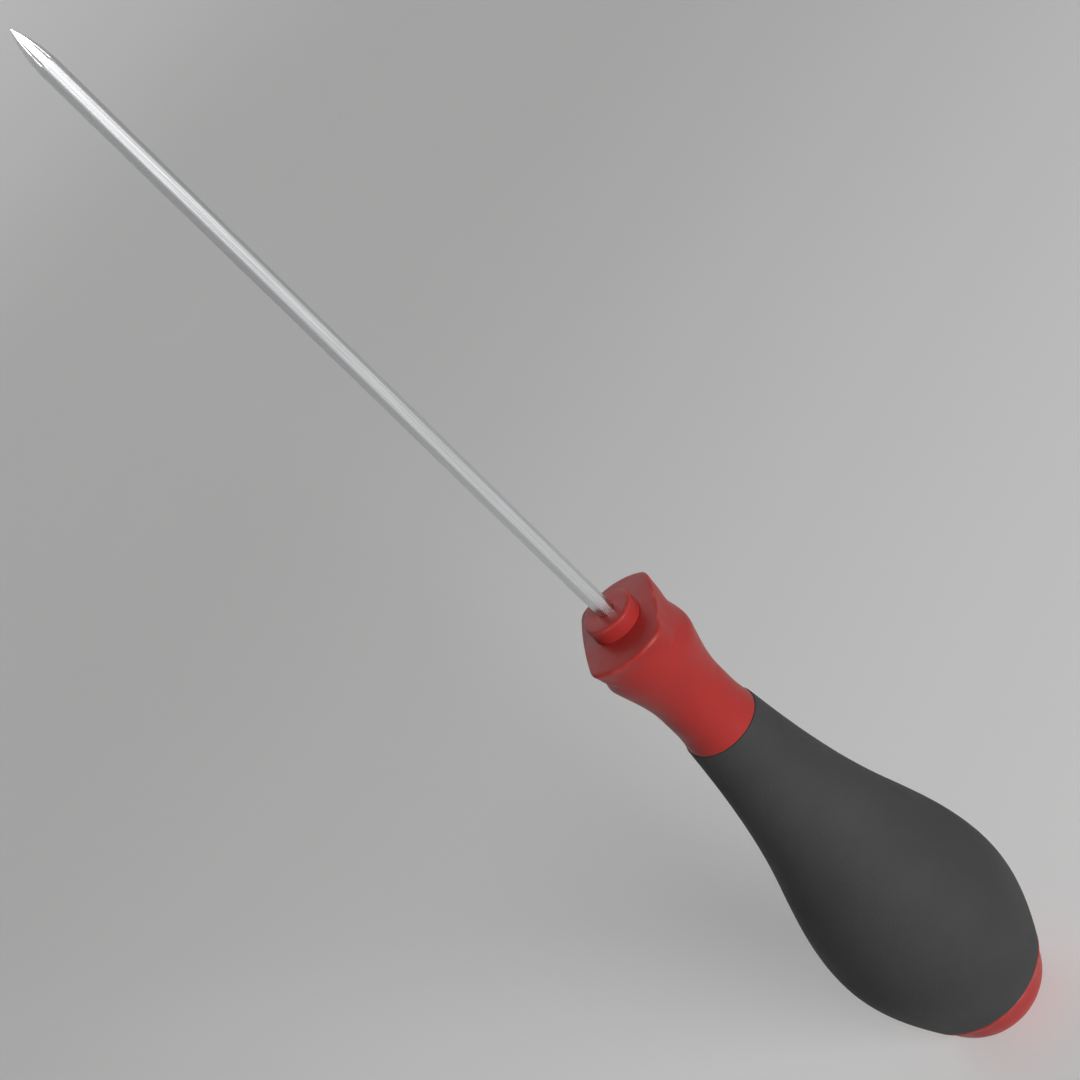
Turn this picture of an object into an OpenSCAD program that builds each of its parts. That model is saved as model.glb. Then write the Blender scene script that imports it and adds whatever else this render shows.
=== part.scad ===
// Screwdriver with a hexagonal blade, a six-lobed pointed end and a two-colour pear-shaped handle.
// It stands on its butt: the origin is the centre of the butt's flat face, +Z runs along the tool to
// the point, and +X is square to one of the two scoops in the collar. Sizes are in millimetres.

/* [Blade] */
// Width across the flats of the hexagonal bar
blade_af = 2.65; // [2.2:0.05:3]
// Width across the bar's eased corners
blade_ac = 2.98; // [2.4:0.02:3.4]
// Length of the bar in front of the nose
blade_out = 120.5; // [60:0.5:200]
// Length of the bar held inside the handle
blade_in = 58; // [45:1:70]
// Length of the pointed end
point_len = 6.4; // [5:0.1:10]
// Radius of the blunted point
tip_r = 0.1; // [0.05:0.01:0.3]
// Length of the flutes that leave the six lobes
flute_len = 5.2; // [3:0.1:6]
// Radius of each flute
flute_r = 0.55; // [0.3:0.05:0.8]
// Depth of each flute where it starts
flute_depth = 0.12; // [0.05:0.01:0.3]
// Distance of each flute's bottom from the axis at the point
flute_end_r = 0.2; // [0.15:0.01:0.4]
// Width of the pressed wings that stop the bar turning
wing_w = 5.6; // [4:0.1:7]
// Thickness of the wings
wing_t = 1.2; // [0.8:0.1:2]
// Length of the wings
wing_len = 10; // [6:0.5:14]
// Height of the wings above the bar's inner end
wing_rise = 4; // [2:0.5:8]

/* [Grip sleeve] */
// Radius of the grip's tail, next to the end ring
tail_r = 14; // [12.5:0.1:16]
// Length from the tail to the belly
tail_len = 18.7; // [14:0.1:24]
// Radius of the belly, the widest place
belly_r = 18.2; // [16.5:0.1:20]
// Length from the belly to the shoulder
flank_len = 25; // [18:0.5:32]
// Radius of the shoulder, where the flank is steepest
shoulder_r = 13.2; // [11.5:0.1:15]
// Length from the shoulder to the grip's front edge
throat_len = 35; // [28:0.5:45]
// Radius of the grip's front edge
front_r = 7.05; // [6.7:0.05:8]
// Rounding of the front edge
front_round = 0.2; // [0.05:0.05:0.4]
// Thickness of the soft sleeve
grip_wall = 3; // [2:0.1:4]

/* [Neck and collar] */
// Radius of the neck where the grip's front edge meets it
neck_rear_r = 6.85; // [6.5:0.05:7]
// Length from the grip's edge to the neck's waist
neck_rear_len = 4.6; // [3:0.1:8]
// Radius of the neck's straight waist
neck_r = 6.4; // [5.8:0.05:6.8]
// Length of the straight waist
neck_len = 4; // [2:0.5:8]
// Length from the waist to the middle of the flare
flare_len = 9.4; // [7:0.1:14]
// Radius at the middle of the flare
flare_r = 8.2; // [7.4:0.1:9.2]
// Length from the middle of the flare to the collar's rim
rim_len = 8.7; // [6:0.1:12]
// Radius of the collar's rim
rim_r = 10.35; // [9.4:0.05:12]
// Rounding of the rim's front edge
rim_round = 0.5; // [0.3:0.1:1.2]
// Rise of the collar's front face from the rim to the boss
face_rise = 0.4; // [0.2:0.1:2]
// Distance of each scoop from the axis, at the front edge
scoop_half = 6.85; // [6:0.05:7.5]
// Radius that each scoop is hollowed with, seen from the side
scoop_r = 15; // [12:0.5:30]
// Radius of each scoop's crown, seen along the tool
scoop_crown = 70; // [40:1:120]
// Thickness of the collar's front wall
collar_wall = 4; // [2.5:0.1:6]
// Length of the collar's tail under the sleeve
tuck_len = 5; // [3:0.5:8]
// Radius of the collar's tail under the sleeve
tuck_r = 5.8; // [5.2:0.1:6.2]

/* [Nose bush] */
// Radius of the boss
boss_r = 4.4; // [4:0.1:5.6]
// Height of the boss above the collar's face
boss_h = 2.9; // [1.5:0.1:4]
// Rounding of the boss's front edge
boss_round = 0.6; // [0.1:0.1:0.8]
// Radius of the bush's stem in the collar
stem_r = 3.3; // [2.5:0.1:3.8]

/* [Core] */
// Radius of the core under the collar's rear end
core_front_r = 4.75; // [4.5:0.05:5.2]
// Radius of the core inside the collar
core_neck_r = 4.2; // [3.8:0.1:4.4]
// Number of ribs that key the sleeve to the core
rib_count = 6; // [3:1:8]
// Width of each rib
rib_w = 2; // [1.2:0.1:3]
// Height of each rib above the core's belly
rib_h = 1; // [0.5:0.1:1.5]
// Length of each rib
rib_len = 14; // [8:1:16]

/* [End ring and cap] */
// Height of the cap's body from the butt to its top edge
cap_h = 9.3; // [7:0.1:12]
// Radius of the cap's top edge
cap_r = 13.15; // [12:0.05:14]
// Radius of the butt's flat face
butt_r = 7.3; // [6:0.1:8.6]
// Bevel round the cap's top edge
cap_bevel = 0.3; // [0.1:0.05:0.6]
// Thickness of the end ring
ring_t = 1; // [0.6:0.1:1.6]
// Outer radius of the end ring
ring_r = 13.8; // [12.8:0.1:14.2]
// Radius of the cap's land that centres the ring
land_r = 9; // [7.5:0.1:10]
// Radius of the cap's snap spigot
spigot_r = 5; // [4:0.1:6]
// Length of the snap spigot in the core
spigot_len = 10; // [7:0.5:14]
// Radius of the snap bead's section
bead_r = 0.5; // [0.3:0.05:0.8]
// Distance from the snap bead's middle to the spigot's end
bead_back = 2.5; // [1.5:0.1:4]

/* [Fits] */
// Gap all round between pieces that are fitted or moulded together
fit_gap = 0.05; // [0.02:0.01:0.12]

/* [Hidden] */
$fn = 96;

red = [0.66, 0.12, 0.13];
grip_grey = [0.2, 0.2, 0.21];
core_grey = [0.36, 0.36, 0.38];
steel = [0.78, 0.79, 0.8];

// Heights above the butt, from the butt to the point
tail_z = cap_h + ring_t;
belly_z = tail_z + tail_len;
shoulder_z = belly_z + flank_len;
front_z = shoulder_z + throat_len;
tuck_z = front_z - tuck_len;
waist_z = front_z + neck_rear_len;
flare_z = waist_z + neck_len + flare_len;
rim_z = flare_z + rim_len;
edge_z = rim_z + rim_round;
face_z = edge_z + face_rise;
core_top_z = face_z - collar_wall;
nose_z = face_z + boss_h;
tang_z = nose_z - blade_in;
point_z = nose_z + blade_out;
spigot_z = tail_z + spigot_len;
bead_z = spigot_z - bead_back;

// Slopes of the outline, as radius over height
tail_slope = 0.36;
shoulder_slope = -0.29;
front_slope = -0.1;
neck_rear_slope = -0.14;
flare_slope = 0.2;
rim_slope = 0.36;
cap_slope = 0.42;
butt_slope = 1.6;

curve_steps = 14;
arc_steps = 6;
cut_over = 1;

// A station of an outline: its height, radius and slope
tail = [tail_z, tail_r, tail_slope];
belly = [belly_z, belly_r, 0];
shoulder = [shoulder_z, shoulder_r, shoulder_slope];
front = [front_z - front_round, front_r, front_slope];

// Point of the smooth curve between two stations, as radius and height
function curve_point(a, b, t) =
    let (span = b[0] - a[0])
    [(2 * t ^ 3 - 3 * t ^ 2 + 1) * a[1] + (t ^ 3 - 2 * t ^ 2 + t) * span * a[2]
        + (3 * t ^ 2 - 2 * t ^ 3) * b[1] + (t ^ 3 - t ^ 2) * span * b[2],
     a[0] + span * t];

function curve(a, b) = [for (i = [0 : curve_steps]) curve_point(a, b, i / curve_steps)];

// The same curve without its first point, to follow another one
function next_curve(a, b) = [for (i = [1 : curve_steps]) curve_point(a, b, i / curve_steps)];

function arc(centre, radius, from, to) =
    [for (i = [0 : arc_steps])
        let (angle = from + (to - from) * i / arc_steps)
        centre + radius * [cos(angle), sin(angle)]];

// A station moved inwards by the sleeve's wall
function inside(station) = [station[0], station[1] - grip_wall, station[2]];

module turned(outline) {
    rotate_extrude() polygon(outline);
}

// Hexagonal bar with a flat square to X, grown all round by the gap
module hex_bar(z0, z1, gap) {
    translate([0, 0, z0])
        intersection() {
            rotate(30) cylinder(r = (blade_af / 2 + gap) / cos(30), h = z1 - z0, $fn = 6);
            cylinder(r = blade_ac / 2 + gap, h = z1 - z0);
        }
}

// Flat wings across the bar, grown all round by the gap
module wings(gap) {
    translate([-wing_t / 2 - gap, -wing_w / 2 - gap, tang_z + wing_rise - gap])
        cube([wing_t, wing_w, wing_len] + 2 * gap * [1, 1, 1]);
}

// Solid of the pointed end: an arc that leaves the bar smoothly and closes in on the blunted point
module point_form() {
    half = blade_ac / 2;
    drop = half - tip_r;
    swing_r = (point_len ^ 2 + drop ^ 2) / (2 * drop);
    swing = asin(point_len / swing_r);
    turned(concat(
        [[0, tang_z], [half, tang_z]],
        arc([half - swing_r, point_z - point_len], swing_r, 0, swing),
        [[0, point_z]]));
}

// Six flutes that run down the bar's corners and close in on the point
module flutes() {
    start_r = blade_ac / 2 - flute_depth + flute_r;
    lean = atan((start_r - flute_end_r - flute_r) / flute_len);
    run = flute_len / cos(lean) + 2 * cut_over;
    for (i = [0 : 5])
        rotate(30 + 60 * i)
            translate([start_r, 0, point_z - flute_len])
                rotate([0, -lean, 0])
                    translate([0, 0, -cut_over]) cylinder(r = flute_r, h = run);
}

module blade() {
    color(steel) {
        difference() {
            intersection() {
                hex_bar(tang_z, point_z, 0);
                point_form();
            }
            flutes();
        }
        wings(0);
    }
}

module nose_bush() {
    color(red)
        difference() {
            turned(concat(
                [[0, core_top_z], [stem_r, core_top_z], [stem_r, face_z], [boss_r, face_z]],
                arc([boss_r - boss_round, nose_z - boss_round], boss_round, 0, 90),
                [[0, nose_z]]));
            hex_bar(core_top_z - cut_over, nose_z + cut_over, fit_gap);
        }
}

function collar_outline() =
    let (rear = [front_z, neck_rear_r, neck_rear_slope],
         waist_start = [waist_z, neck_r, 0],
         waist_end = [waist_z + neck_len, neck_r, 0],
         flare = [flare_z, flare_r, flare_slope],
         rim = [rim_z, rim_r, rim_slope],
         bore_r = core_neck_r + fit_gap)
    concat(
        [[bore_r, tuck_z], [tuck_r, tuck_z], [tuck_r, front_z]],
        curve(rear, waist_start),
        curve(waist_end, flare),
        next_curve(flare, rim),
        arc([rim_r - rim_round, rim_z], rim_round, 0, 90),
        [[boss_r, face_z], [stem_r + fit_gap, face_z], [stem_r + fit_gap, core_top_z],
         [bore_r, core_top_z]]);

module neck_collar() {
    color(red)
        difference() {
            turned(collar_outline());
            for (side = [0, 180])
                rotate(side)
                    translate([scoop_half - scoop_crown, 0, edge_z])
                        rotate_extrude() translate([scoop_crown + scoop_r, 0]) circle(r = scoop_r);
        }
}

// Outside of the core, grown by the gap: a bulb that follows the sleeve, its ribs and its neck
module core_form(gap, below) {
    grow = [gap, 0];
    neck = [tuck_z, core_front_r, front_slope];
    bulb = concat(curve(inside(tail), inside(belly)),
                  next_curve(inside(belly), inside(shoulder)),
                  next_curve(inside(shoulder), neck));
    turned(concat(
        [[0, tail_z - below], [tail_r - grip_wall + gap, tail_z - below]],
        [for (p = bulb) p + grow],
        [[core_neck_r + gap, tuck_z], [core_neck_r + gap, core_top_z], [0, core_top_z]]));
    reach = belly_r - grip_wall + rib_h + gap;
    for (i = [0 : rib_count - 1])
        rotate(360 / rib_count * i)
            translate([0, -rib_w / 2 - gap, belly_z - rib_len / 2 - gap])
                cube([reach, rib_w + 2 * gap, rib_len + 2 * gap]);
}

module core() {
    color(core_grey)
        difference() {
            core_form(0, 0);
            hex_bar(tang_z, core_top_z + cut_over, fit_gap);
            wings(fit_gap);
            translate([0, 0, tail_z - cut_over])
                cylinder(r = spigot_r + fit_gap, h = spigot_len + cut_over + fit_gap);
            snap_bead(fit_gap);
        }
}

// Rounded bead round the cap's spigot, grown by the gap
module snap_bead(gap) {
    translate([0, 0, bead_z])
        rotate_extrude() translate([spigot_r, 0]) circle(r = bead_r + gap, $fn = 32);
}

module grip_sleeve() {
    color(grip_grey)
        difference() {
            turned(concat(
                [[0, tail_z]],
                curve(tail, belly),
                next_curve(belly, shoulder),
                next_curve(shoulder, front),
                arc([front_r - front_round, front_z - front_round], front_round, 0, 90),
                [[0, front_z]]));
            core_form(fit_gap, cut_over);
            translate([0, 0, tuck_z])
                cylinder(r = tuck_r + fit_gap, h = tuck_len + cut_over);
        }
}

module end_ring() {
    half = ring_t / 2;
    color(red)
        turned(concat(
            [[land_r + fit_gap, cap_h]],
            arc([ring_r - half, cap_h + half], half, -90, 90),
            [[land_r + fit_gap, tail_z]]));
}

module end_cap() {
    butt = [0, butt_r, butt_slope];
    edge = [cap_h - cap_bevel, cap_r, cap_slope];
    color(red) {
        turned(concat(
            [[0, 0]],
            curve(butt, edge),
            [[cap_r - cap_bevel, cap_h], [land_r, cap_h], [land_r, tail_z],
             [spigot_r, tail_z], [spigot_r, spigot_z], [0, spigot_z]]));
        snap_bead(0);
    }
}

blade();
nose_bush();
neck_collar();
core();
grip_sleeve();
end_ring();
end_cap();
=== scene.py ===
"""Looks of a six-lobe screwdriver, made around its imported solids.

The tool stands on its butt: +Z runs along it to the point, and +X is square to one of the scoops in
the collar. Sizes are in millimetres and become metres when a mesh is made. Angles round the tool are in
radians, and the other named angles are in degrees.
"""

from math import cos, inf, pi, radians, sin, sqrt, tan
from typing import NamedTuple

import bmesh
import bpy
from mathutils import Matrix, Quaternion, Vector


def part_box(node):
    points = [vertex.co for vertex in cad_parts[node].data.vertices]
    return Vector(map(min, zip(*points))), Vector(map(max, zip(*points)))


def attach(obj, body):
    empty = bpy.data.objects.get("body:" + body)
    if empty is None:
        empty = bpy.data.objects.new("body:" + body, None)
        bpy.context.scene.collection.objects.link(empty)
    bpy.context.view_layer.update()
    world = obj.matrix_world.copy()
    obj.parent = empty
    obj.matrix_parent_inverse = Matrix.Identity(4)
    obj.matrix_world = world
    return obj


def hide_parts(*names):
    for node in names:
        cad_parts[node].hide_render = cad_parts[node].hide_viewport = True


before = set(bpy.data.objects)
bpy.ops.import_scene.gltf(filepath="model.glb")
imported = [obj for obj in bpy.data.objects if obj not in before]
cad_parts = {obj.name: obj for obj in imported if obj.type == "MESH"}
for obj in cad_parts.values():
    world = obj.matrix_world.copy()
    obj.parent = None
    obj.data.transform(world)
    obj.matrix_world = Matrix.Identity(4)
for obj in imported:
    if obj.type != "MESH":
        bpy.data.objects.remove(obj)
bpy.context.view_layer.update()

MM = 0.001


class Station(NamedTuple):
    """Place on an outline: its height, its radius and how fast the radius grows with the height."""
    z: float
    r: float
    slope: float


def span(node):
    """Lowest and highest corner of a solid, in millimetres."""
    low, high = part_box(node)
    return low / MM, high / MM


# Heights and radii that the solids give
TANG_Z, POINT_Z = (corner.z for corner in span("blade"))
CAP_H, TAIL_Z = (corner.z for corner in span("end_ring"))
FRONT_Z, BELLY_R = span("grip_sleeve")[1].z, span("grip_sleeve")[1].x
TUCK_Z, FACE_Z = (corner.z for corner in span("neck_collar"))
COLLAR_R = span("neck_collar")[1].y
CORE_TOP_Z, NOSE_Z = (corner.z for corner in span("nose_bush"))
BOSS_R = span("nose_bush")[1].x
RING_R = span("end_ring")[1].x
SPIGOT_Z = span("end_cap")[1].z

FIT_GAP = 0.05

# Blade: a hexagonal bar, its wings in the handle and its lobed point
HEX_SIDES = 6
HEX_PITCH = 2 * pi / HEX_SIDES
BLADE_AF = 2.65
BLADE_AC = 2.98
BLADE_EASE = 0.1
POINT_LEN = 6.4
POINT_START_Z = POINT_Z - POINT_LEN
TIP_R = 0.1
FLUTE_R = 0.3
FLUTE_DEPTH = 0.2
FLUTE_RUN_IN = 1.6
FLUTE_EASE = 0.05
WING_W = 5.6
WING_T = 1.2
WING_LEN = 10
WING_RISE = 4

# Grip sleeve
TAIL = Station(TAIL_Z, 14, 0.36)
BELLY = Station(TAIL_Z + 18.7, BELLY_R, 0)
SHOULDER = Station(BELLY.z + 25, 13.2, -0.29)
FRONT = Station(FRONT_Z, 7.05, -0.1)
GRIP_WALL = 3
FRONT_ROUND = 0.22
TAIL_ROUND = 0.35
RIB_COUNT = 6
RIB_W = 2
RIB_H = 1
RIB_LEN = 14

# Neck and collar
NECK_REAR = Station(FRONT_Z, 6.85, -0.14)
WAIST_START = Station(FRONT_Z + 4.6, 6.4, 0)
WAIST_END = Station(WAIST_START.z + 4, 6.4, 0)
FLARE = Station(WAIST_END.z + 9.85, 8.2, 0.26)
FACE_RISE = 0.4
RIM_ROUND = 0.5
EDGE_Z = FACE_Z - FACE_RISE
RIM = Station(EDGE_Z - RIM_ROUND, COLLAR_R - 0.1, 0.56)
REAR_ROUND = 0.12
TUCK_R = 5.8
CORE_FRONT_R = 4.75
CORE_NECK_R = 4.2

# Scoops in the collar: some of their sizes change from the rim to the foot
SCOOP_HALF = 7.05
SCOOP_R = 21
SCOOP_DEPTH = 5
SCOOP_CROWN_RIM = 65
SCOOP_CROWN_DEEP = 12
SCOOP_BLEND_RIM = 1.1
SCOOP_BLEND_DEEP = 0.4

# Nose bush
STEM_R = 3.3
BOSS_ROUND = 0.6
BOSS_FOOT = 0.15
BOSS_SQUARENESS = 2.25
MOUTH_ROUND = 0.06

# End ring and cap
BUTT = Station(0, 7.3, 1.6)
CAP_EDGE = Station(CAP_H, 13.15, 0.42)
BUTT_ROUND = 0.0208
CAP_EDGE_ROUND = 0.3
LAND_R = 9
SPIGOT_R = 5
SPIGOT_ROUND = 0.4
BEAD_R = 0.5
BEAD_Z = SPIGOT_Z - 2.5

# Stage
FLOOR_R = 900
WALL_R = 3000
WALL_H = 900
# Painted pool of light on the floor: how its glow turns, where it rises and how bright it gets
GLOW_TURN = 50
GLOW_SPAN = (-450 * MM, 350 * MM)
GLOW_LEVEL = (0.09, 0.36)
WORLD_LIGHT = 0.08
WORLD_SHOWN = 0.55
LAMP_DISTANCE = 2000

# Camera
AIM = (0.62, 0.23, 136.42)
CAMERA_DISTANCE = 280.1
HEADING = -20
TILT = 28.96
ROLL = -45.63
LENS = 62.23
SENSOR_W = 36
CLIP_START = 10

# How finely the meshes are divided
ROUND_COLUMNS = 192
COLLAR_COLUMNS = 360
FLOOR_COLUMNS = 96
CURVE_STEPS = 24
FILLET_STEPS = 5
BAR_STEPS = 12
POINT_STEPS = 40
FACE_STEPS = 6
BEAD_STEPS = 8
FLOOR_STEPS = 6
WALL_STEPS = 24

# Degrees to each side of the bar's corners at which the blade has a column
CORNER_OFFSETS = (1, 2, 3, 4, 5, 6, 7, 8, 9.5, 12, 15, 18, 22, 26)

# Bends per millimetre between which an outline's edge starts to show wear, and shows it fully
SOFT_BEND = 0.8
SHARP_BEND = 2.2

SHARP_ANGLE = 40
NEARLY_ZERO = 1e-6

# Range that most values of a noise lie in
NOISE_RANGE = (0.3, 0.7)


# Outlines
def curve(start, end):
    """Smooth curve between two stations, as radius and height."""
    length = end.z - start.z
    points = []
    for i in range(CURVE_STEPS + 1):
        t = i / CURVE_STEPS
        radius = ((2 * t**3 - 3 * t**2 + 1) * start.r + (t**3 - 2 * t**2 + t) * length * start.slope
                  + (3 * t**2 - 2 * t**3) * end.r + (t**3 - t**2) * length * end.slope)
        points.append((radius, start.z + length * t))
    return points


def through(*stations):
    """One curve through several stations."""
    points = curve(stations[0], stations[1])
    for start, end in zip(stations[1:], stations[2:]):
        points += curve(start, end)[1:]
    return points


def fillet(before, corner, after, radius):
    """Arc that rounds a corner of an outline."""
    before, corner, after = Vector(before), Vector(corner), Vector(after)
    to_before = (before - corner).normalized()
    to_after = (after - corner).normalized()
    half = to_before.angle(to_after) / 2
    start = corner + to_before * (radius / tan(half))
    end = corner + to_after * (radius / tan(half))
    centre = corner + (to_before + to_after).normalized() * (radius / sin(half))
    first, last = start - centre, end - centre
    turn = first.angle_signed(last)
    points = []
    for i in range(FILLET_STEPS + 1):
        angle = -turn * i / FILLET_STEPS
        points.append((centre.x + first.x * cos(angle) - first.y * sin(angle),
                       centre.y + first.x * sin(angle) + first.y * cos(angle)))
    return points


def smooth_min(a, b, blend):
    """The smaller of two values, rounded off where they come within the blend of each other."""
    near = max(blend - abs(a - b), 0) / blend
    return min(a, b) - near**2 * blend / 4


def smooth_step(t):
    """Smooth rise from 0 to 1 while t goes from 0 to 1."""
    t = min(max(t, 0), 1)
    return t * t * (3 - 2 * t)


def off_nearest(angle, pitch):
    """Angle from the nearest multiple of a pitch."""
    return (angle + pitch / 2) % pitch - pitch / 2


# Meshes
def even_angles(count):
    return [2 * pi * i / count for i in range(count)]


def ring(radius, z, angles):
    """One ring of points. The radius is a number, or a function of the angle."""
    reach = radius if callable(radius) else lambda angle: radius
    return [(reach(a) * cos(a), reach(a) * sin(a), z) for a in angles]


def bend_at(before, here, after):
    """How fast an outline turns outwards at a point, in radians per millimetre."""
    (r0, z0), (r1, z1), (r2, z2) = before, here, after
    first, second = Vector((r1 - r0, z1 - z0)), Vector((r2 - r1, z2 - z1))
    if not first.length or not second.length:
        return 0
    return -first.angle_signed(second) / max(first.length, second.length)


def edge_sharpness(rings):
    """How sharp the outline is at each point, from 0 to 1 on the small rounded edges."""
    outlines = [[(sqrt(x * x + y * y), z) for x, y, z in points] for points in rings]
    befores = outlines[-1:] + outlines[:-1]
    afters = outlines[1:] + outlines[:1]
    bends = [bend_at(*trio) for rows in zip(befores, outlines, afters) for trio in zip(*rows)]
    return [smooth_step((bend - SOFT_BEND) / (SHARP_BEND - SOFT_BEND)) for bend in bends]


def add_rows(build, rings):
    return [[build.verts.new(Vector(point) * MM) for point in points] for points in rings]


def join_rows(build, rows):
    """Faces from each row of points to the next."""
    columns = len(rows[0])
    for lower, upper in zip(rows, rows[1:]):
        for i in range(columns):
            j = (i + 1) % columns
            build.faces.new((lower[i], lower[j], upper[j], upper[i]))


def smooth_mesh(name, build):
    mesh = bpy.data.meshes.new(name)
    build.to_mesh(mesh)
    build.free()
    mesh.shade_smooth()
    return mesh


def ring_mesh(name, rings, closed):
    """Joins rings into one mesh. A closed mesh's last ring meets its first, and an open one's ends are
    capped."""
    build = bmesh.new()
    rows = add_rows(build, rings)
    join_rows(build, rows + rows[:1] if closed else rows)
    if not closed:
        build.faces.new(reversed(rows[0]))
        build.faces.new(rows[-1])
    bmesh.ops.recalc_face_normals(build, faces=build.faces)
    return smooth_mesh(name, build)


def add_object(name, data):
    added = bpy.data.objects.new(name, data)
    bpy.context.scene.collection.objects.link(added)
    return added


def make_piece(name, plan, angles, closed, node, material):
    """Piece that stands for a solid. Its plan lists the radius and height of each ring."""
    rings = [ring(radius, z, angles) for radius, z in plan]
    mesh = ring_mesh(name, rings, closed)
    mesh.set_sharp_from_angle(angle=radians(SHARP_ANGLE))
    mesh.materials.append(material)
    mesh.attributes.new("edge", "FLOAT", "POINT").data.foreach_set("value", edge_sharpness(rings))
    piece = add_object(name, mesh)
    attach(piece, "root")
    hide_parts(node)


# Blade
def hex_radius(angle, gap=0):
    """Outline of the hexagonal bar, with flats square to X and its corners eased."""
    off_flat = off_nearest(angle, HEX_PITCH)
    return smooth_min((BLADE_AF / 2 + gap) / cos(off_flat), BLADE_AC / 2 + gap, BLADE_EASE)


def wing_radius(angle):
    """Outline of the bar where the flat wings cross it."""
    across = WING_T / 2 / max(abs(cos(angle)), NEARLY_ZERO)
    along = WING_W / 2 / max(abs(sin(angle)), NEARLY_ZERO)
    return max(hex_radius(angle), min(across, along))


def point_scale(z):
    """Size of the pointed end at a height, as a share of the bar's: it leaves the bar smoothly and
    closes in on the point along an arc."""
    drop = BLADE_AC / 2 - TIP_R
    swing_r = (POINT_LEN**2 + drop**2) / (2 * drop)
    rise = z - POINT_START_Z
    return 1 - (swing_r - sqrt(swing_r**2 - rise**2)) / (BLADE_AC / 2)


def point_radius(z):
    """Outline of the pointed end at a height: the bar's own, closing in, with a flute along each
    corner."""
    scale = point_scale(z)
    depth = FLUTE_DEPTH * smooth_step((z - POINT_START_Z) / FLUTE_RUN_IN)
    middle = BLADE_AC / 2 - depth + FLUTE_R

    def reach(angle):
        off_corner = off_nearest(angle - HEX_PITCH / 2, HEX_PITCH)
        side = middle * sin(off_corner)
        flute = inf
        if abs(side) < FLUTE_R:
            flute = middle * cos(off_corner) - sqrt(FLUTE_R**2 - side**2)
        return scale * smooth_min(hex_radius(angle), flute, FLUTE_EASE)
    return reach


def blade_angles():
    """Angles round the bar: its corners, the columns beside them and the middles of its flats."""
    pitch = 360 / HEX_SIDES
    offsets = [0, -pitch / 2] + [sign * offset for offset in CORNER_OFFSETS for sign in (1, -1)]
    corners = [pitch * (side + 0.5) for side in range(HEX_SIDES)]
    return sorted(radians((corner + offset) % 360) for corner in corners for offset in offsets)


def make_blade(material):
    wing_z = TANG_Z + WING_RISE
    wing_top = wing_z + WING_LEN
    plan = [(hex_radius, TANG_Z), (hex_radius, wing_z), (wing_radius, wing_z),
            (wing_radius, wing_top), (hex_radius, wing_top), (hex_radius, NOSE_Z)]
    bar_len = POINT_START_Z - NOSE_Z
    plan += [(hex_radius, NOSE_Z + bar_len * i / BAR_STEPS) for i in range(1, BAR_STEPS)]
    for i in range(POINT_STEPS + 1):
        z = POINT_START_Z + POINT_LEN * i / POINT_STEPS
        plan.append((point_radius(z), z))
    make_piece("steel_blade", plan, blade_angles(), closed=False, node="blade",
               material=material)


# Nose bush
def boss_radius(scale):
    """Outline of the boss, a circle drawn out a little towards a square."""
    def reach(angle):
        power = BOSS_SQUARENESS
        return scale * (abs(cos(angle))**power + abs(sin(angle))**power)**(-1 / power)
    return reach


def mouth_radius(flare):
    """Outline of the hole for the bar, which flares at its mouth."""
    return lambda angle: hex_radius(angle, FIT_GAP) + flare


def make_nose_bush(material):
    side = fillet((STEM_R, FACE_Z), (BOSS_R, FACE_Z), (BOSS_R, NOSE_Z), BOSS_FOOT)
    side += fillet((BOSS_R, FACE_Z), (BOSS_R, NOSE_Z), (0, NOSE_Z), BOSS_ROUND)
    mouth = fillet((BOSS_R, NOSE_Z), (0, NOSE_Z), (0, CORE_TOP_Z), MOUTH_ROUND)
    plan = [(STEM_R, CORE_TOP_Z), (STEM_R, FACE_Z)]
    plan += [(boss_radius(r), z) for r, z in side]
    plan += [(mouth_radius(r), z) for r, z in mouth]
    plan += [(mouth_radius(0), CORE_TOP_Z)]
    make_piece("red_nose_bush", plan, even_angles(ROUND_COLUMNS), closed=True, node="nose_bush",
               material=material)


# Neck and collar
def down_scoop(at_rim, deep, z):
    """Size that changes from the rim of a scoop to its foot, at a height."""
    return at_rim + (deep - at_rim) * smooth_step((EDGE_Z - z) / SCOOP_DEPTH)


def scoop_radius(angle, z):
    """Surface of the nearer scoop: hollow along the tool and crowned across it, more so at its foot."""
    depth = EDGE_Z - z
    if depth >= SCOOP_R:
        return inf
    off_scoop = off_nearest(angle, pi)
    reach = SCOOP_HALF + SCOOP_R - sqrt(SCOOP_R**2 - depth**2)
    crown = down_scoop(SCOOP_CROWN_RIM, SCOOP_CROWN_DEEP, z)
    back = reach - crown
    return back * cos(off_scoop) + sqrt(crown**2 - (back * sin(off_scoop))**2)


def collar_radius(radius, z):
    """Outline of the collar at a height: the turned form, blended into the scoops."""
    blend = down_scoop(SCOOP_BLEND_RIM, SCOOP_BLEND_DEEP, z)
    return lambda angle: smooth_min(radius, scoop_radius(angle, z), blend)


def collar_rim_plan():
    """Rounded front edge of the rim, and the front face from there to the boss."""
    outline = collar_radius(RIM.r, RIM.z)
    plan = []
    for i in range(1, FILLET_STEPS + 1):
        angle = pi / 2 * i / FILLET_STEPS
        inset = RIM_ROUND * (1 - cos(angle))
        plan.append((lambda a, inset=inset: outline(a) - inset, RIM.z + RIM_ROUND * sin(angle)))
    for i in range(1, FACE_STEPS + 1):
        t = i / FACE_STEPS
        plan.append((lambda a, t=t: (outline(a) - RIM_ROUND) * (1 - t) + BOSS_R * t,
                     EDGE_Z + FACE_RISE * t))
    return plan


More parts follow.
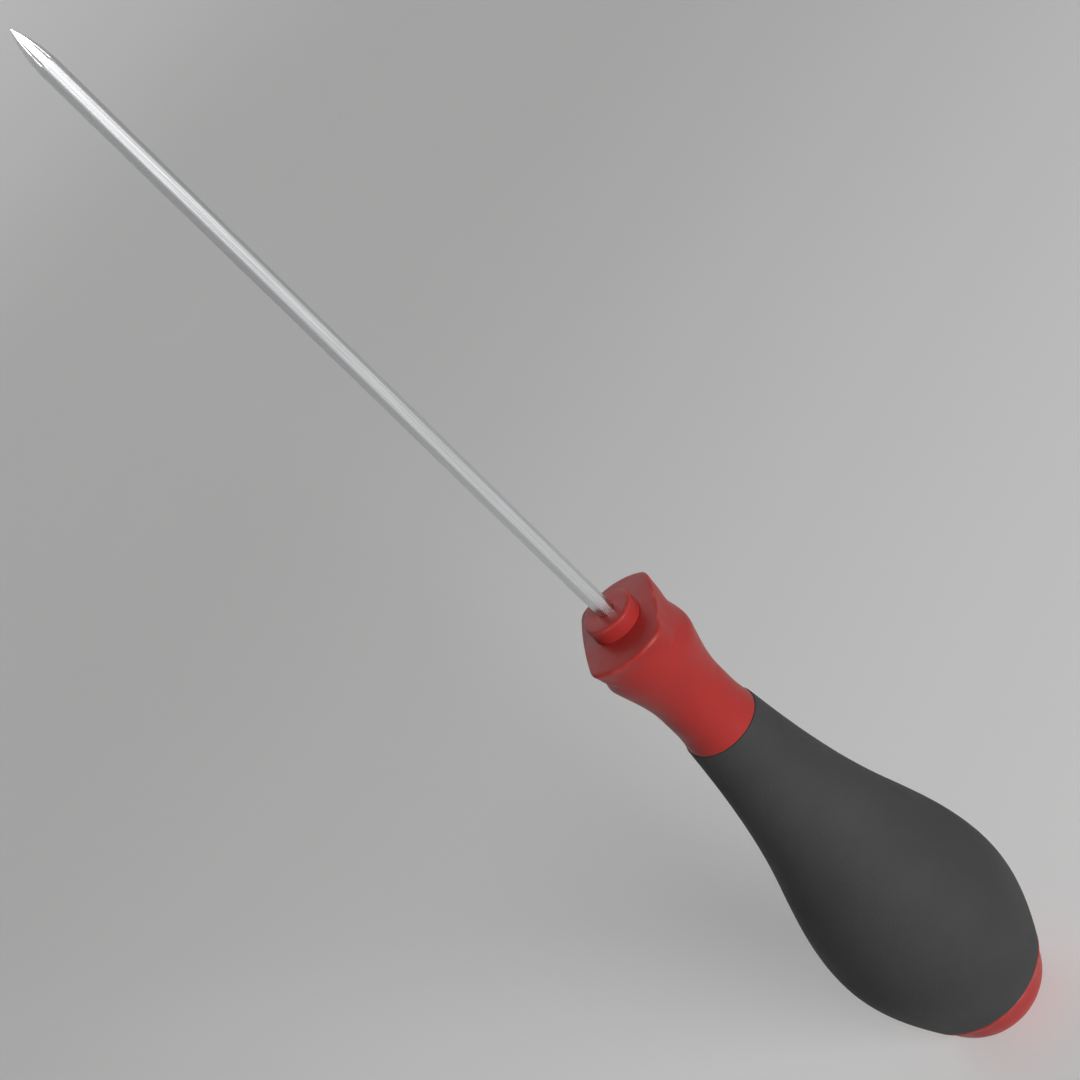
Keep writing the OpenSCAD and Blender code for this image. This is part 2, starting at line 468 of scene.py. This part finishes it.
def make_collar(material):
    bore_r = CORE_NECK_R + FIT_GAP
    seat_r = STEM_R + FIT_GAP
    outside = through(NECK_REAR, WAIST_START) + through(WAIST_END, FLARE, RIM)
    plan = [(bore_r, TUCK_Z), (TUCK_R, TUCK_Z), (TUCK_R, FRONT_Z)]
    plan += fillet((TUCK_R, FRONT_Z), outside[0], outside[1], REAR_ROUND)
    plan += [(collar_radius(r, z), z) for r, z in outside[1:]]
    plan += collar_rim_plan()
    plan += [(seat_r, FACE_Z), (seat_r, CORE_TOP_Z), (bore_r, CORE_TOP_Z)]
    make_piece("red_neck_collar", plan, even_angles(COLLAR_COLUMNS), closed=True, node="neck_collar",
               material=material)


# Grip sleeve
def bore_radius(radius, z):
    """Inside of the sleeve at a height, with a keyway for each of the core's ribs."""
    if abs(z - BELLY.z) > RIB_LEN / 2:
        return radius
    pocket = BELLY_R - GRIP_WALL + RIB_H + FIT_GAP
    half_width = RIB_W / 2 + 2 * FIT_GAP

    def reach(angle):
        off_rib = off_nearest(angle, 2 * pi / RIB_COUNT)
        return pocket if abs(pocket * sin(off_rib)) <= half_width else radius
    return reach


def inside(station):
    """Station of the bore, a wall's thickness in from one of the outside."""
    return station._replace(r=station.r - GRIP_WALL + FIT_GAP)


def make_grip(material):
    outside = through(TAIL, BELLY, SHOULDER, FRONT)
    neck = Station(TUCK_Z, CORE_FRONT_R + FIT_GAP, FRONT.slope)
    bore = through(inside(TAIL), inside(BELLY), inside(SHOULDER), neck)
    tuck_r = TUCK_R + FIT_GAP
    plan = bore[:1] + fillet((0, TAIL_Z), outside[0], outside[1], TAIL_ROUND)
    plan += outside[2:-2] + fillet(outside[-2], outside[-1], (0, FRONT_Z), FRONT_ROUND)
    plan += [(tuck_r, FRONT_Z), (tuck_r, TUCK_Z)]
    plan += [(bore_radius(r, z), z) for r, z in reversed(bore[1:])]
    make_piece("soft_grip_sleeve", plan, even_angles(ROUND_COLUMNS), closed=True, node="grip_sleeve",
               material=material)


# End ring and cap
def make_end_ring(material):
    half = (TAIL_Z - CAP_H) / 2
    bore_r = LAND_R + FIT_GAP
    plan = [(bore_r, CAP_H)]
    plan += fillet((bore_r, CAP_H), (RING_R, CAP_H), (RING_R, TAIL_Z), half)
    plan += fillet((RING_R, CAP_H), (RING_R, TAIL_Z), (bore_r, TAIL_Z), half)[1:]
    plan += [(bore_r, TAIL_Z)]
    make_piece("red_end_ring", plan, even_angles(ROUND_COLUMNS), closed=True, node="end_ring",
               material=material)


def snap_bead():
    """Half-round bead on the spigot."""
    angles = [pi * i / BEAD_STEPS - pi / 2 for i in range(BEAD_STEPS + 1)]
    return [(SPIGOT_R + BEAD_R * cos(angle), BEAD_Z + BEAD_R * sin(angle)) for angle in angles]


def make_end_cap(material):
    side = curve(BUTT, CAP_EDGE)
    plan = fillet((0, 0), side[0], side[1], BUTT_ROUND)
    plan += side[2:-2] + fillet(side[-2], side[-1], (LAND_R, CAP_H), CAP_EDGE_ROUND)
    plan += [(LAND_R, CAP_H), (LAND_R, TAIL_Z), (SPIGOT_R, TAIL_Z)]
    plan += snap_bead()
    plan += fillet((SPIGOT_R, BEAD_Z), (SPIGOT_R, SPIGOT_Z), (0, SPIGOT_Z), SPIGOT_ROUND)
    make_piece("red_end_cap", plan, even_angles(ROUND_COLUMNS), closed=False, node="end_cap",
               material=material)


# Nodes of the materials
def set_inputs(tree, node, **inputs):
    """Sets or links some of a node's inputs. Underscores in a name stand for spaces."""
    for name, value in inputs.items():
        socket = node.inputs[name.replace("_", " ")]
        if isinstance(value, bpy.types.NodeSocket):
            tree.links.new(value, socket)
        else:
            socket.default_value = value


def add_node(tree, kind, **inputs):
    node = tree.nodes.new(kind)
    set_inputs(tree, node, **inputs)
    return node


def place(tree, stretch=(1, 1, 1)):
    """Place on the object in metres, stretched by a factor along each axis."""
    coords = add_node(tree, "ShaderNodeTexCoord").outputs["Object"]
    return add_node(tree, "ShaderNodeMapping", Vector=coords, Scale=stretch).outputs["Vector"]


def noise(tree, vector, scale, detail=2, roughness=0.5):
    node = add_node(tree, "ShaderNodeTexNoise", Vector=vector, Scale=scale, Detail=detail,
                    Roughness=roughness)
    return node.outputs["Fac"]


def mapped(tree, value, from_range, to_range, interpolation="LINEAR"):
    node = add_node(tree, "ShaderNodeMapRange", Value=value, From_Min=from_range[0],
                    From_Max=from_range[1], To_Min=to_range[0], To_Max=to_range[1])
    node.interpolation_type = interpolation
    return node.outputs["Result"]


def combined(tree, operation, a, b):
    node = tree.nodes.new("ShaderNodeMath")
    node.operation = operation
    tree.links.new(a, node.inputs[0])
    tree.links.new(b, node.inputs[1])
    return node.outputs["Value"]


def product(tree, a, b):
    return combined(tree, "MULTIPLY", a, b)


def seen_rays(tree):
    """1 where a surface or the world is seen or mirrored, and 0 where it lights something."""
    rays = add_node(tree, "ShaderNodeLightPath").outputs
    mirrored = combined(tree, "MAXIMUM", rays["Is Glossy Ray"], rays["Is Transmission Ray"])
    return combined(tree, "MAXIMUM", rays["Is Camera Ray"], mirrored)


def two_tone(tree, factor, low, high):
    """Colour that goes from one tone to another with the factor."""
    node = add_node(tree, "ShaderNodeValToRGB", Fac=factor)
    node.color_ramp.elements[0].color = (*low, 1)
    node.color_ramp.elements[1].color = (*high, 1)
    return node.outputs["Color"]


def mixed_colour(tree, factor, first, second):
    """Colour that goes from a linked one to a fixed one with the factor."""
    node = tree.nodes.new("ShaderNodeMix")
    node.data_type = "RGBA"
    tree.links.new(factor, node.inputs["Factor"])
    colours = [socket for socket in node.inputs if socket.type == "RGBA"]
    tree.links.new(first, colours[0])
    colours[1].default_value = (*second, 1)
    return next(socket for socket in node.outputs if socket.type == "RGBA")


def bumped(tree, height, strength, distance):
    node = add_node(tree, "ShaderNodeBump", Strength=strength, Distance=distance * MM, Height=height)
    return node.outputs["Normal"]


def worn_edges(tree, vector):
    """How worn a place is: up to 1 on rounded edges, which are rubbed in patches."""
    edge = tree.nodes.new("ShaderNodeAttribute")
    edge.attribute_name = "edge"
    patch = mapped(tree, noise(tree, vector, scale=320, detail=4), (0.42, 0.68), (0, 0.8))
    return product(tree, edge.outputs["Fac"], patch)


# Materials
def new_material(name):
    material = bpy.data.materials.new(name)
    material.use_nodes = True
    tree = material.node_tree
    return material, tree, tree.nodes["Principled BSDF"]


def moulded_red():
    """Hard plastic, faintly mottled and grained, and rubbed paler along its edges."""
    material, tree, shader = new_material("moulded_red_plastic")
    vector = place(tree)
    mottle = noise(tree, vector, scale=55, detail=3)
    tone = two_tone(tree, mottle, low=(0.36, 0.026, 0.024), high=(0.46, 0.040, 0.034))
    rubbed = mixed_colour(tree, worn_edges(tree, vector), tone, (0.54, 0.095, 0.080))
    rough = mapped(tree, noise(tree, vector, scale=420), NOISE_RANGE, (0.34, 0.44))
    grain = bumped(tree, noise(tree, vector, scale=1500, detail=1), strength=0.08, distance=0.2)
    set_inputs(tree, shader, Base_Color=rubbed, Roughness=rough, Specular_IOR_Level=0.2, Normal=grain)
    return material


def soft_touch_grey():
    """Soft rubber-like plastic: matt, cloudy and finely pebbled."""
    material, tree, shader = new_material("soft_touch_grip")
    vector = place(tree)
    mottle = noise(tree, vector, scale=90, detail=4)
    tone = two_tone(tree, mottle, low=(0.045, 0.045, 0.046), high=(0.064, 0.064, 0.065))
    rough = mapped(tree, noise(tree, vector, scale=60, detail=4), NOISE_RANGE, (0.62, 0.78))
    pebbles = noise(tree, vector, scale=2600, roughness=0.7)
    grain = bumped(tree, pebbles, strength=0.35, distance=0.25)
    set_inputs(tree, shader, Base_Color=tone, Roughness=rough, Specular_IOR_Level=0.18, Normal=grain)
    return material


def bright_steel():
    """Bright steel with drawing lines along the bar, dulled in clouds."""
    material, tree, shader = new_material("bright_drawn_steel")
    wide_lines = noise(tree, place(tree, stretch=(2600, 2600, 22)), scale=1, detail=3)
    fine_lines = noise(tree, place(tree, stretch=(9000, 9000, 60)), scale=1)
    clouds = mapped(tree, noise(tree, place(tree), scale=120, detail=4), NOISE_RANGE, (0, 1))
    tone = two_tone(tree, wide_lines, low=(0.56, 0.57, 0.58), high=(0.78, 0.79, 0.80))
    dulled = product(tree, clouds, mapped(tree, fine_lines, (0.45, 0.7), (0, 0.5)))
    colour = mixed_colour(tree, dulled, tone, (0.54, 0.54, 0.54))
    rough = mapped(tree, fine_lines, NOISE_RANGE, (0.18, 0.36))
    drawn = bumped(tree, fine_lines, strength=0.10, distance=0.1)
    set_inputs(tree, shader, Base_Color=colour, Metallic=1, Roughness=rough, Normal=drawn)
    return material


def core_grey():
    """Plain hard plastic of the core, which shows from no side."""
    material, tree, shader = new_material("core_plastic")
    vector = place(tree)
    mottle = noise(tree, vector, scale=80, detail=3)
    tone = two_tone(tree, mottle, low=(0.10, 0.10, 0.105), high=(0.13, 0.13, 0.135))
    rough = mapped(tree, noise(tree, vector, scale=200, detail=4), NOISE_RANGE, (0.5, 0.65))
    set_inputs(tree, shader, Base_Color=tone, Roughness=rough)
    return material


def pale_floor():
    """Pale paper that glows a little where it is seen or mirrored, most on the camera's right: a
    painted pool of light on the floor, which the steel shows as a painted reflection. The glow lights
    nothing, and light that bounces off the paper is dimmed."""
    material, tree, shader = new_material("pale_floor")
    vector = place(tree)
    mottle = noise(tree, vector, scale=6, detail=3)
    paper = two_tone(tree, mottle, low=(0.72, 0.72, 0.715), high=(0.75, 0.75, 0.745))
    bounced = add_node(tree, "ShaderNodeLightPath").outputs["Is Diffuse Ray"]
    colour = mixed_colour(tree, bounced, paper, (0.45, 0.45, 0.45))
    # Painted light: the glow rises towards the camera's right, as if a lamp fell off across the floor
    turned = add_node(tree, "ShaderNodeMapping", Vector=vector, Rotation=(0, 0, radians(GLOW_TURN)))
    along = add_node(tree, "ShaderNodeSeparateXYZ", Vector=turned.outputs["Vector"]).outputs["X"]
    glow = mapped(tree, along, GLOW_SPAN, GLOW_LEVEL, interpolation="SMOOTHSTEP")
    set_inputs(tree, shader, Base_Color=colour, Roughness=1, Specular_IOR_Level=0,
               Emission_Color=(1, 1, 1, 1), Emission_Strength=product(tree, glow, seen_rays(tree)))
    return material


# Stage, light and camera
def make_floor():
    """Round sweep: a flat floor that curves up into a pale wall on all sides. It casts no shadow, so
    that the low lights pass the wall."""
    outline = [(FLOOR_R * i / FLOOR_STEPS, 0) for i in range(1, FLOOR_STEPS + 1)]
    for i in range(1, WALL_STEPS + 1):
        t = i / WALL_STEPS
        outline.append((FLOOR_R + (WALL_R - FLOOR_R) * t, WALL_H * t**2))
    angles = even_angles(FLOOR_COLUMNS)
    build = bmesh.new()
    rows = add_rows(build, [ring(r, z, angles) for r, z in reversed(outline)])
    join_rows(build, rows)
    build.faces.new(rows[-1])
    mesh = smooth_mesh("floor", build)
    mesh.materials.append(pale_floor())
    floor = add_object("floor", mesh)
    floor.visible_shadow = False


def make_world():
    """White surroundings, pale where they are seen or mirrored and dim where they light the tool."""
    world = bpy.data.worlds.new("studio")
    world.use_nodes = True
    tree = world.node_tree
    strength = mapped(tree, seen_rays(tree), (0, 1), (WORLD_LIGHT, WORLD_SHOWN))
    set_inputs(tree, tree.nodes["Background"], Color=(1, 1, 1, 1), Strength=strength)
    bpy.context.scene.world = world


def add_sky(name, towards, width, energy):
    """Light on the tool from a wide, even patch of sky."""
    sky = bpy.data.lights.new(name, "SUN")
    sky.angle = radians(width)
    sky.energy = energy
    lamp = add_object(name, sky)
    direction = Vector(towards).normalized()
    lamp.location = Vector((0, 0, POINT_Z / 2)) * MM + direction * (LAMP_DISTANCE * MM)
    lamp.rotation_mode = "QUATERNION"
    lamp.rotation_quaternion = direction.to_track_quat("Z", "Y")
    lamp.visible_camera = False


def make_lights():
    """Wide, even light from the camera's right, with a little from above and some from behind."""
    add_sky("front", towards=(0.64, -0.71, 0.23), width=32, energy=2.7)
    add_sky("top", towards=(0.25, 0.35, 0.90), width=70, energy=0.06)
    add_sky("back", towards=(-0.30, 0.85, 0.22), width=60, energy=0.9)


def make_camera():
    """Camera of the photograph: it looks down on the tool and is rolled, so that the tool runs from
    corner to corner."""
    heading, tilt = radians(HEADING), radians(TILT)
    forward = Vector((sin(heading) * cos(tilt), cos(heading) * cos(tilt), -sin(tilt)))
    data = bpy.data.cameras.new("camera")
    data.sensor_width = SENSOR_W
    data.lens = LENS
    data.clip_start = CLIP_START * MM
    camera = add_object("camera", data)
    camera.location = Vector(AIM) * MM - forward * (CAMERA_DISTANCE * MM)
    camera.rotation_mode = "QUATERNION"
    level = forward.to_track_quat("-Z", "Y")
    camera.rotation_quaternion = level @ Quaternion((0, 0, 1), radians(ROLL))
    bpy.context.scene.camera = camera


red = moulded_red()
make_blade(bright_steel())
make_nose_bush(red)
make_collar(red)
make_grip(soft_touch_grey())
make_end_ring(red)
make_end_cap(red)
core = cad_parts["core"]
core.data.materials.clear()
core.data.materials.append(core_grey())

make_floor()
make_world()
make_lights()
make_camera()
bpy.context.scene.view_settings.view_transform = "Standard"
